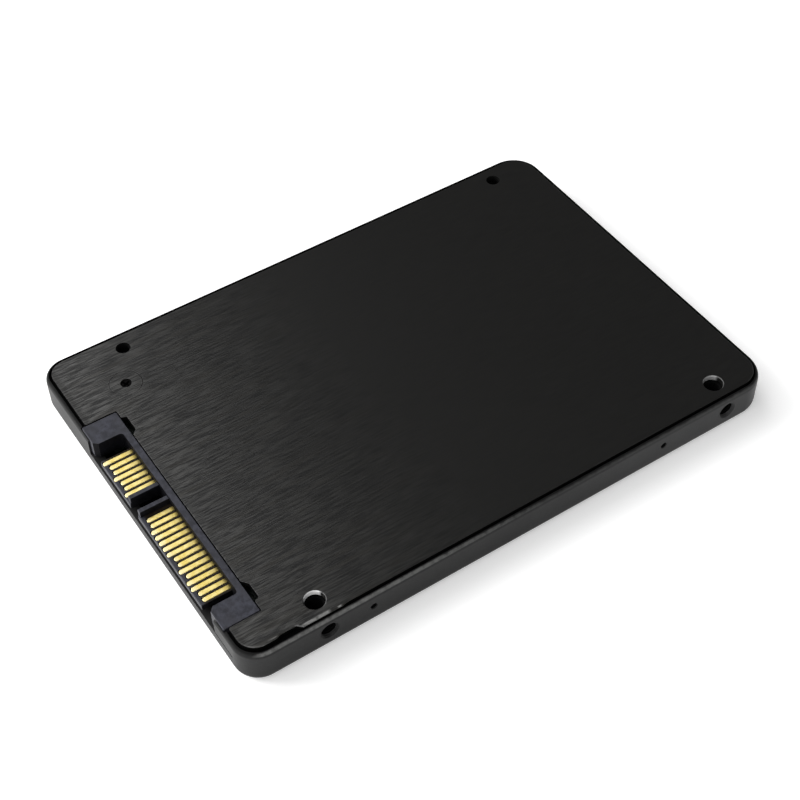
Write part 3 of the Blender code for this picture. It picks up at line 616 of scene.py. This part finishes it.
def shell_additions():
    """The corner blocks that hold the threads, and the posts under the board and the plate's screw."""
    for side in (-1, 1):
        for y in HOLE_Y:
            ends = sorted((side * BLOCK_INNER_X, side * (CAVITY_X + 1.0)))
            low = (ends[0], y - BLOCK_HALF_Y, FLOOR_Z - 0.2)
            yield slab(low, (ends[1], y + BLOCK_HALF_Y, LEDGE_Z), corner=0.8)
    for x, y in BOARD_SCREWS:
        yield lathe((x, y, 0), ((BOARD_POST, FLOOR_Z - 0.2), (BOARD_POST, BOARD_POST_TOP)), 32)
    yield lathe((SCREW.x, SCREW.y, 0), ((SCREW_POST, FLOOR_Z - 0.2), (SCREW_POST, LEDGE_Z)), 32)


def mouth(side, y, cone, sides):
    """The worn mouth of a hole in a side wall; cone is a list of (radius, distance out of the wall)."""
    profile = [(radius, side * (HALF_X + along)) for radius, along in cone]
    return lathe((0, y, SIDE_Z), profile if side > 0 else profile[::-1], sides, "X")


def side_wall_cuts(side):
    screw_mouth = (
        (1.1, -1.0), (1.2, -0.42), (1.4, -0.24), (1.54, -0.12), (1.62, -0.03), (1.75, 0.05), (1.75, 0.6),
    )
    snap_mouth = ((0.4, -0.5), (0.55, -0.14), (0.62, -0.04), (0.72, 0.05), (0.72, 0.4))
    for y in HOLE_Y:
        yield tap((side * HOLE_X, y, 0), BORE_FLOOR, HEIGHT, "Z")
        yield tap((0, y, SIDE_Z), *sorted((side * (HALF_X - SIDE_DEPTH), side * (HALF_X + 0.5))), "X")
        yield mouth(side, y, screw_mouth, 48)
    for y in SNAP_Y:
        ends = sorted((side * (CAVITY_X - 1.0), side * (HALF_X + 1.0)))
        yield lathe((0, y, SIDE_Z), [(SNAP_HOLE, end) for end in ends], 28, "X")
        yield mouth(side, y, snap_mouth, 28)


def shell_cuts():
    for side in (-1, 1):
        yield from side_wall_cuts(side)
    for x, y in BOARD_SCREWS:
        yield lathe((x, y, 0), ((1.1, 0.8), (1.1, 3.4)), 24)
    yield lathe((SCREW.x, SCREW.y, 0), ((THREAD_MINOR, BORE_FLOOR), (THREAD_MINOR, HEIGHT)), 32)
    # The gap in the front wall, the room round the housing, and the seam at its power end.
    inside = -CAVITY_Y + 1
    yield slab((FRONT_GAP_X[0], -HALF_Y - 1, FRONT_GAP_Z), (FRONT_GAP_X[1], inside, HEIGHT + 1))
    housing_room = (HOUSING_LOW.x - 0.3, HOUSING_LOW.y + 0.1, FRONT_GAP_Z)
    yield slab(housing_room, (HOUSING_HIGH.x + 0.3, inside, HEIGHT + 1))
    yield slab((24.8, -HALF_Y - 1, 3.2), (30.5, -HALF_Y + 0.9, 3.5))
    for x in HOOK_X:
        yield slab((x - 3.5, CAVITY_Y - 0.5, 4.3), (x + 3.5, CAVITY_Y + 0.9, 5.4))
    x, y = LABEL_POCKET
    yield slab((-x, -y, -1.0), (x, y, LABEL_DEPTH), corner=2.0, corner_steps=8)


def inset_of(point):
    """How far a point is inside the case's outline, seen from above."""
    corner = BACK_CORNER if point.y > 0 else FRONT_CORNER
    over_x, over_y = abs(point.x) - (HALF_X - corner), abs(point.y) - (HALF_Y - corner)
    if over_x > 0 and over_y > 0:
        return corner - math.hypot(over_x, over_y)
    return min(HALF_X - abs(point.x), HALF_Y - abs(point.y))


def hidden_on_shell(point, normal):
    """The ledge, the groove round the plate and the cavity, but not the lip under the connector."""
    on_lip = point.y < LIP_BACK and point.z < LIP_TOP
    return point.z > FLOOR_Z - 0.01 and inset_of(point) > HIDDEN_INSET and not on_lip


def build_shell(coat, hidden):
    shell = shell_body()
    join(shell, *shell_additions())
    cut(shell, *shell_cuts())
    finish_piece(shell, "case_shell", coat, hidden)
    paint(shell, 1, hidden_on_shell)


# ---------------------------------------------------------------- plate

def rounded_outline(corners):
    """Points along a closed outline whose corners are (x, y, radius)."""
    points = []
    count, step_degrees = len(corners), 9.0
    for i, (x, y, radius) in enumerate(corners):
        before, after = Vector(corners[i - 1][:2]), Vector(corners[(i + 1) % count][:2])
        here = Vector((x, y))
        u, v = (before - here).normalized(), (after - here).normalized()
        half = u.angle(v) / 2
        reach = radius / math.tan(half)
        centre = here + (u + v).normalized() * (radius / math.sin(half))
        start, end = here + u * reach - centre, here + v * reach - centre
        sweep = start.angle_signed(end)
        steps = max(2, int(abs(math.degrees(sweep)) / step_degrees))
        for k in range(steps + 1):
            a = -sweep * k / steps
            points.append(centre + Matrix.Rotation(a, 2) @ start)
    return points


def moved_in(points, distances):
    """The outline moved inwards by a distance of its own at each point, square to the outline."""
    result = []
    for i, (here, distance) in enumerate(zip(points, distances)):
        first = (here - points[i - 1]).normalized()
        second = (points[(i + 1) % len(points)] - here).normalized()
        n1, n2 = Vector((-first.y, first.x)), Vector((-second.y, second.x))
        mean = (n1 + n2).normalized()
        result.append(here + mean * distance / max(0.5, mean.dot(n1)))
    return result


def plate_outline():
    left, right = HOUSING_LOW.x - 0.15, HOUSING_HIGH.x + 0.15
    back = HOUSING_HIGH.y + 0.15
    corners = [(-PLATE_SIDE, PLATE_FRONT, 3.0), (left, PLATE_FRONT, 0.35), (left, back, 0.12)]
    for mouth_low, mouth_high, back_low, back_high in NOTCHES:
        corners += [(mouth_low, back, 0.2), (back_low, NOTCH_BACK, 0.3)]
        corners += [(back_high, NOTCH_BACK, 0.3), (mouth_high, back, 0.2)]
    # The front end, then the steps of the long +X edge, then the back end.
    corners += [
        (right, back, 0.12), (right, PLATE_FRONT, 0.35), (33.5, PLATE_FRONT, 3.0),
        (33.5, -43.9, 0.8), (33.2, -43.2, 0.8), (33.2, -40.6, 0.4), (34.0, -39.8, 0.4),
        (34.0, -32.9, 0.8), (33.8, -32.2, 0.8), (PLATE_SIDE, PLATE_BACK, 4.0), (-PLATE_SIDE, PLATE_BACK, 4.0),
    ]
    return rounded_outline(corners)


def plate_body():
    """The flat plate: its long +X edge is rounded over, and its other edges are sheared nearly sharp."""
    outline = plate_outline()
    radii = []
    for point in outline:
        share = min(1.0, max(0.0, (point.x - ROUNDED_FROM_X) / ROUNDED_WIDTH))
        radii.append(PLATE_SHARP_ROUND + (PLATE_EDGE_ROUND - PLATE_SHARP_ROUND) * share)
    rings = [
        [(p.x, p.y, PLATE_BOTTOM) for p in moved_in(outline, [0.03] * len(outline))],
        [(p.x, p.y, PLATE_BOTTOM + 0.03) for p in outline],
    ]
    for k in range(6):
        a = math.radians(90.0 * k / 5)
        moved = moved_in(outline, [radius * (1 - math.cos(a)) for radius in radii])
        rings.append([(p.x, p.y, HEIGHT - radius * (1 - math.sin(a))) for p, radius in zip(moved, radii)])
    return loft(rings)


def plate_legs():
    """The folded legs whose bumps snap into the side walls, and the two hooks under the back wall."""
    top = PLATE_BOTTOM + 0.2
    for side in (-1, 1):
        inner, outer = side * (CAVITY_X - 0.9), side * (CAVITY_X - 0.3)
        for y in SNAP_Y:
            yield slab((min(inner, outer), y - 2.5, LEG_BOTTOM), (max(inner, outer), y + 2.5, top))
            ends = sorted((outer - side * 0.2, outer + side * 0.7))
            yield lathe((0, y, SIDE_Z), ((0.35, ends[0]), (0.35, ends[1])), 20, "X")
    back = CAVITY_Y - 0.4
    for x in HOOK_X:
        low_x, high_x = x - HOOK_HALF_X, x + HOOK_HALF_X
        yield slab((low_x, back - 0.6, HOOK_BOTTOM), (high_x, back, top))
        yield slab((low_x, back - 0.5, HOOK_BOTTOM), (high_x, back + 1.0, HOOK_BOTTOM + 0.5))


def plate_cuts():
    """The four screw holes with their rounded mouths, and the seat of the flush head."""
    for side, radius in ((-1, PUNCHED_RADIUS), (1, DRILLED_RADIUS)):
        for y in HOLE_Y:
            profile = [(radius + out, along) for out, along in HOLE_MOUTH]
            yield lathe((side * HOLE_X, y, HEIGHT), profile, 56)
    edge = HEAD_RADIUS + SEAT_GAP
    seat = ((1.65, -1.0), (1.65, -0.9), (edge, -0.2), (edge, -0.02), (edge + 0.02, 0.0), (edge + 0.02, 0.4))
    yield lathe((SCREW.x, SCREW.y, HEIGHT), seat, 64)


def hidden_on_plate(point, normal):
    """Painted shade: the plate's cut edges and folded legs, and the inside of its two -X holes, get the
    near-black; not the drilled +X ones.
    """
    for y in HOLE_Y:
        if math.hypot(point.x - HOLE_X, point.y - y) < DRILLED_RADIUS + 0.25:
            return point.z < PLATE_BOTTOM + 0.02
        if math.hypot(point.x + HOLE_X, point.y - y) < PUNCHED_RADIUS + 0.21:
            return True
    return point.z < HEIGHT - 0.3 or abs(normal.z) < 0.2


def build_plate(brushed, hidden):
    plate = plate_body()
    join(plate, *plate_legs())
    cut(plate, *plate_cuts())
    finish_piece(plate, "mounting_plate", brushed, hidden)
    paint(plate, 1, hidden_on_plate)


def build_screw(brushed, hidden):
    """The flush flat head, its cross recess turned a little, and the shank."""
    top = SCREW_HIGH.z - HEIGHT
    profile = (
        (0.95, -4.2), (0.95, -1.0), (1.1, -0.98), (HEAD_RADIUS - 0.02, -0.2), (HEAD_RADIUS, -0.16),
        (HEAD_RADIUS, top - 0.05), (HEAD_RADIUS - 0.02, top - 0.015), (HEAD_RADIUS - 0.06, top),
    )
    screw = lathe((SCREW.x, SCREW.y, HEIGHT), profile, 72)
    well = lathe((SCREW.x, SCREW.y, HEIGHT), ((0.8, -0.25), (0.93, -0.12), (1.0, 0.3)), 40)
    slots = []
    for turn in RECESS_TURNS:
        slot = slab((-0.8, -0.18, HEIGHT - 0.75), (0.8, 0.18, HEIGHT + 0.2), corner=0.08)
        slot.data.transform(Matrix.Rotation(math.radians(turn), 4, "Z"))
        slot.data.transform(Matrix.Translation((SCREW.x * MM, SCREW.y * MM, 0)))
        slots.append(slot)
    cut(screw, well, *slots)
    finish_piece(screw, "plate_screw", brushed, hidden)
    # Painted shade: the recess, the side of the head and what lies below its face get the near-black.
    paint(screw, 1, lambda p, n: p.z < HEIGHT - 0.04 or abs(n.z) < 0.5)


def build_label(look):
    low, high = box_mm("label_sticker")
    label = slab(low, high, corner=1.7, corner_steps=10, bottom=0.03)
    finish_piece(label, "label_sticker", look)


# ---------------------------------------------------------------- connector

def contact_spots():
    """Each contact's node, its middle in x, and its CAD box."""
    for node in CONTACTS:
        low, high = box_mm(node)
        yield node, (low.x + high.x) / 2, low, high


def housing_cuts():
    """The pocket between the ears, and the slanted lead-in at its front."""
    front, low_z, high_z = HOUSING_LOW.y - 2.0, 2.0, HOUSING_HIGH.z + 1
    left, right = POCKET_X
    yield slab((left, front, low_z), (right, BAR_FRONT, high_z), corner=0.6, corner_steps=6)
    lead_in_back = (right + LEAD_IN, EAR_FRONT + LEAD_IN, high_z)
    yield slab((left - LEAD_IN, front, low_z), lead_in_back, corner=LEAD_IN - 0.01, corner_steps=1)


def housing_additions():
    """The two tongues, and the key that stands on the inner end of each."""
    back = BAR_FRONT + 0.5
    for low_x, high_x in TONGUES:
        yield slab(
            (low_x, TONGUE_FRONT, TONGUE_LOW), (high_x, back, TONGUE_HIGH),
            corner=0.2, corner_steps=3, top=0.15, bottom=0.15,
        )
    for low_x in (TONGUES[0][1] - KEY_WIDTH, TONGUES[1][0]):
        low = (low_x, TONGUE_FRONT + 0.15, TONGUE_HIGH - 0.5)
        yield slab(low, (low_x + KEY_WIDTH, back, KEY_HIGH), top=0.12)


def contact_cuts():
    """The bed of each contact in the tongue, and its way back through the housing."""
    for _, x, low, high in contact_spots():
        reach, floor = (high.x - low.x) / 2 + SLOT_GAP, high.z - 0.31
        bed_back = (x + reach, BAR_FRONT + 0.2, TONGUE_HIGH + 0.5)
        yield slab((x - reach, low.y - 0.12, floor), bed_back, corner=0.25, corner_steps=3)
        yield slab((x - reach, BAR_FRONT - 0.1, floor), (x + reach, HOUSING_HIGH.y + 1.0, high.z + 0.1))


def on_tongue(point, normal):
    return point.z < TONGUE_HIGH + 0.02 and point.y < BAR_FRONT - 0.01 and normal.z > 0.3


def in_pocket(point, normal):
    """Painted shade: the pocket's walls that face +X, and those that face the front."""
    faces_x = normal.x > 0.3 and point.x < HOUSING_HIGH.x - 0.3
    return faces_x or (normal.y < -0.5 and point.y > EAR_FRONT + 1.0)


def build_housing(plastic, pocket, tongue):
    front = (HOUSING_LOW.x, EAR_FRONT, HOUSING_LOW.z)
    housing = slab(front, HOUSING_HIGH, corner=0.25, corner_steps=4, top=0.1)
    cut(housing, *housing_cuts())
    join(housing, *housing_additions())
    cut(housing, *contact_cuts())
    for x in ((HOUSING_LOW.x + POCKET_X[0]) / 2, (HOUSING_HIGH.x + POCKET_X[1]) / 2):
        cut(housing, slab((x - 0.75, -45.3, 2.5), (x + 0.75, -44.5, 4.8)))
    finish_piece(housing, "connector_housing", plastic, pocket, tongue)
    paint(housing, 2, on_tongue)
    paint(housing, 1, in_pocket)


def build_contacts(look):
    """Each blade has a rounded tip that dips at the end, and a leg down to its foot on the board."""
    for node, x, low, high in contact_spots():
        half = (high.x - low.x) / 2
        back = HOUSING_HIGH.y + 0.55
        front = (x - half, low.y, high.z - 0.25)
        blade = slab(front, (x + half, back, high.z), corner=0.36, corner_steps=7, top=0.09)
        for vertex in blade.data.vertices:
            ahead = max(0.0, low.y + TIP_LENGTH - vertex.co.y / MM)
            vertex.co.z -= TIP_DIP * ahead * ahead * MM
        drop = slab((x - half, back - 0.25, low.z), (x + half, back + 0.02, high.z - 0.1))
        foot = slab((x - half, back - 0.2, low.z), (x + half, high.y, low.z + 0.2))
        join(blade, drop, foot)
        finish_piece(blade, node, look)


# ---------------------------------------------------------------- inside the case

def dress_inside():
    """Materials for the CAD nodes that stay as they are, inside the case."""
    looks = {
        "circuit_board": board_look(),
        "board_screw": plain_look("nickel_screw", (0.55, 0.55, 0.53), (0.62, 0.61, 0.58), 0.32, 1.0),
        "board_lock": plain_look("tinned_peg", (0.6, 0.6, 0.58), (0.66, 0.66, 0.64), 0.36, 1.0),
        "clock_crystal": plain_look("crystal_can", (0.6, 0.6, 0.58), (0.68, 0.68, 0.66), 0.3, 1.0),
        "tantalum_capacitor": plain_look("tantalum_yellow", (0.6, 0.34, 0.07), (0.66, 0.4, 0.1), 0.48),
        "ceramic_capacitor": plain_look("ceramic_tan", (0.4, 0.29, 0.18), (0.46, 0.34, 0.22), 0.5),
        "power_inductor": plain_look("ferrite_grey", (0.07, 0.07, 0.075), (0.1, 0.1, 0.105), 0.6),
        "activity_lamp": plain_look("lamp_resin", (0.72, 0.78, 0.66), (0.8, 0.84, 0.74), 0.3),
        "pad": plain_look("thermal_pad_grey", (0.32, 0.37, 0.42), (0.4, 0.45, 0.5), 0.85),
        "chip": plain_look("chip_resin", (0.018, 0.018, 0.02), (0.027, 0.027, 0.03), 0.55, grain=7000.0),
    }
    for name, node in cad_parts.items():
        if name in SLOT_OF:
            continue
        look = next((looks[key] for key in looks if key in name), looks["chip"])
        node.data.materials.clear()
        node.data.materials.append(look)


# ---------------------------------------------------------------- stage

def stage_floor():
    bm = bmesh.new()
    bmesh.ops.create_grid(bm, x_segments=8, y_segments=8, size=FLOOR_HALF_SIZE_MM)
    floor = object_from(bm, "floor")
    floor.location.z = -FLOOR_DROP_MM * MM
    look = Look("pale_floor", (0.92, 0.92, 0.92), 0.9, Specular_IOR_Level=0.0, Emission_Strength=1.0)
    cloud = look.noise(3.0, 2.0)
    look.colour(look.mix(cloud, (0.915, 0.915, 0.915), (0.925, 0.925, 0.925)))
    # Far from the drive, where the lamps don't reach, the floor glows up to the same white.
    distance = look.node("ShaderNodeVectorMath", operation="LENGTH")
    look.feed(distance.inputs[0], look.place)
    glow = look.ramp(distance.outputs["Value"], GLOW_FROM, GLOW_TO)
    look.feed(look.shader.inputs["Emission Color"], look.mix(glow, (0.3, 0.3, 0.3), (1.0, 1.0, 1.0)))
    floor.data.materials.append(look.material)


def area_light(name, place, target, width, height, power):
    lamp = bpy.data.lights.new(name, "AREA")
    lamp.shape = "RECTANGLE"
    lamp.size = width
    lamp.size_y = height
    lamp.energy = power
    holder = bpy.data.objects.new(name, lamp)
    holder.location = place
    holder.rotation_euler = (Vector(target) - Vector(place)).to_track_quat("-Z", "Y").to_euler()
    bpy.context.scene.collection.objects.link(holder)


def studio():
    world = bpy.data.worlds.new("studio")
    world.use_nodes = True
    backdrop = world.node_tree.nodes["Background"]
    backdrop.inputs["Color"].default_value = (1.0, 1.0, 1.0, 1.0)
    # A low view that looks past the floor's end sees white; the light from there stays weak.
    path = world.node_tree.nodes.new("ShaderNodeLightPath")
    strength = world.node_tree.nodes.new("ShaderNodeMapRange")
    strength.inputs["To Min"].default_value = SKY_LIGHT
    strength.inputs["To Max"].default_value = SKY_SEEN
    world.node_tree.links.new(path.outputs["Is Camera Ray"], strength.inputs["Value"])
    world.node_tree.links.new(strength.outputs["Result"], backdrop.inputs["Strength"])
    bpy.context.scene.world = world
    for name, settings in LAMPS.items():
        area_light(name, *settings)


def camera():
    lens = bpy.data.cameras.new("camera")
    lens.lens = LENS_MM
    lens.sensor_width = SENSOR_MM
    lens.clip_start = 0.01
    holder = bpy.data.objects.new("camera", lens)
    holder.location = CAMERA_PLACE
    holder.rotation_euler = tuple(math.radians(angle) for angle in CAMERA_TURN_DEGREES)
    bpy.context.scene.collection.objects.link(holder)
    bpy.context.scene.camera = holder


def main():
    build_shell(coated_shell(), hidden_black("hidden_black_coat"))
    build_plate(brushed_plate(), hidden_black("hidden_black_edge"))
    build_screw(brushed_plate("brushed_black_steel"), hidden_black("hidden_black_recess"))
    build_label(label_film())
    build_housing(connector_plastic(), pocket_plastic(), tongue_plastic())
    build_contacts(gold_plating())
    dress_inside()
    stage_floor()
    studio()
    camera()
    bpy.context.scene.view_settings.view_transform = "Standard"


main()
